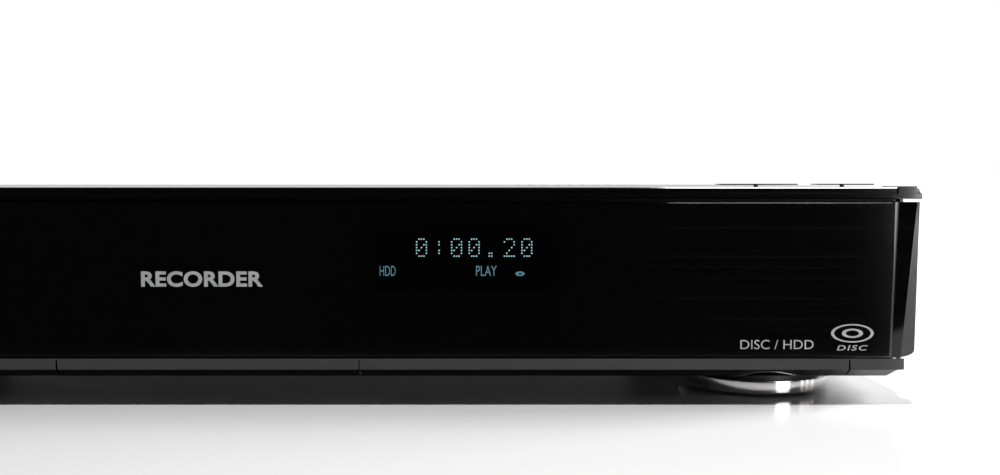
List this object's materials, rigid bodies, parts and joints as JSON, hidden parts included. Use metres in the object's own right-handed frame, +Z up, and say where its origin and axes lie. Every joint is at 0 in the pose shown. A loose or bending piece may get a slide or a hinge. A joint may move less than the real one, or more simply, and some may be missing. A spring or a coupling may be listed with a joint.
{
  "type": "disc and hard-disk video recorder",
  "caption": "Full-width black disc and hard-disk video recorder with a bottom-hinged smoked front flap, disc tray, dot display, chrome-ringed feet and top keys.",
  "frame": {"origin": "middle of the bounding box at the table", "axes": "+X right seen from the front, front faces -Y, +Z up"},
  "size_m": [0.43, 0.239, 0.066],
  "materials": {
    "cover_paint": "black, fine texture",
    "zinc_steel": "galvanised sheet",
    "gloss_black": "polished",
    "hairline_black": "fine horizontal hairline under gloss",
    "black_abs": "fine moulded texture",
    "grey_abs": "moulded",
    "chrome_ring": "mirror",
    "rubber_black": "matt",
    "steel_screw": "zinc plated",
    "steel_rod": "ground",
    "cast_alu": "as cast",
    "alu_fin": "extruded",
    "board_green": "solder resist over glass fibre",
    "board_tan": "phenolic paper board",
    "chip_black": "moulded epoxy",
    "cap_sleeve": "shrink sleeve",
    "winding_tape": "polyester tape",
    "ferrite": "ferrite",
    "tray_white": "moulded",
    "gear_white": "acetal",
    "tube_glass": "polished",
    "lens_glass": "coated",
    "socket_metal": "nickel plated",
    "tin_can": "tinned",
    "lead_sleeve": "PVC"
  },
  "bodies": {
    "case": {"audio_jacks": "black_abs", "base_chassis": "zinc_steel", "board_standoffs": "steel_screw", "capacitors": "cap_sleeve", "card_cage": "tin_can", "clamp_puck": "gear_white", "data_sockets": "socket_metal", "display_tube": "tube_glass", "drive_cover": "zinc_steel", "drive_deck": "grey_abs", "fan_frame": "black_abs", "foot_hubs": "black_abs", "foot_pads": "rubber_black", "foot_rings": "chrome_ring", "front_bezel": "black_abs", "front_boards": "board_green", "front_sockets": "socket_metal", "front_trim": "gloss_black", "guide_rods": "steel_rod", "hdd_board": "board_green", "hdd_bracket": "zinc_steel", "hdd_case": "cast_alu", "hdd_grommets": "rubber_black", "hdd_lid": "steel_rod", "heatsinks": "alu_fin", "inner_leads": "lead_sleeve", "key_switches": "chip_black", "left_fascia": "hairline_black", "loading_belt": "rubber_black", "loading_motor": "steel_screw", "lower_chin": "gloss_black", "main_board": "board_green", "main_chips": "chip_black", "mains_inlet": "black_abs", "optical_socket": "black_abs", "power_board": "board_tan", "rear_panel": "zinc_steel", "rod_holders": "grey_abs", "screws": "steel_screw", "spindle_motor": "steel_screw", "top_cover": "cover_paint", "transformer_core": "ferrite", "transformer_winding": "winding_tape", "traverse_plate": "zinc_steel", "tuner_can": "tin_can"},
    "flap": {"flap_pane": "hairline_black", "flap_frame": "black_abs", "hinge_pins": "steel_rod", "flap_bumpers": "rubber_black"},
    "tray": {"disc_tray": "tray_white", "tray_door": "hairline_black"},
    "gear": {"loading_pinion": "gear_white"},
    "pulley": {"loading_pulley": "gear_white"},
    "hub": {"disc_hub": "grey_abs"},
    "sled": {"laser_sled": "cast_alu", "lens": "lens_glass"},
    "screw": {"feed_screw": "steel_rod"},
    "rotor": {"fan_rotor": "black_abs"},
    "power_button": {"power_key": "gloss_black"},
    "open_button": {"open_key": "gloss_black"}
  },
  "joints": [
    {"name": "flap_hinge", "type": "hinge", "parent": "case", "child": "flap", "pos_m": [0.076, -0.1175, 0.0159], "axis": [1, 0, 0], "range_deg": [0, 90]},
    {"name": "tray_slide", "type": "slide", "parent": "case", "child": "tray", "axis": [0, -1, 0], "range_m": [0, 0.128]},
    {"name": "gear_spin", "type": "hinge", "parent": "case", "child": "gear", "pos_m": [-0.0954, -0.088, 0.035], "axis": [0, 0, 1], "range_deg": [-740, 0]},
    {"name": "pulley_spin", "type": "hinge", "parent": "case", "child": "pulley", "pos_m": [-0.0954, -0.06, 0.032], "axis": [0, 0, 1], "range_deg": [-2200, 0]},
    {"name": "hub_spin", "type": "hinge", "parent": "case", "child": "hub", "pos_m": [-0.138, -0.04, 0.033], "axis": [0, 0, 1], "continuous": true},
    {"name": "sled_slide", "type": "slide", "parent": "case", "child": "sled", "axis": [0, 1, 0], "range_m": [0, 0.022]},
    {"name": "screw_spin", "type": "hinge", "parent": "case", "child": "screw", "pos_m": [-0.108, 0, 0.028], "axis": [0, 1, 0], "range_deg": [-10, 4000]},
    {"name": "fan_spin", "type": "hinge", "parent": "case", "child": "rotor", "pos_m": [0, 0.108, 0.037], "axis": [0, 1, 0], "continuous": true},
    {"name": "power_press", "type": "slide", "parent": "case", "child": "power_button", "axis": [0, 0, -1], "range_m": [0, 0.0006], "stiffness_N_per_m": 600},
    {"name": "open_press", "type": "slide", "parent": "case", "child": "open_button", "axis": [0, 0, -1], "range_m": [0, 0.0006], "stiffness_N_per_m": 600}
  ],
  "couplings": [
    {"joint": "gear_spin", "follows": "tray_slide", "rad_per_m": -100},
    {"joint": "pulley_spin", "follows": "tray_slide", "rad_per_m": -288.1},
    {"joint": "screw_spin", "follows": "sled_slide", "rad_per_m": 3141.6}
  ]
}
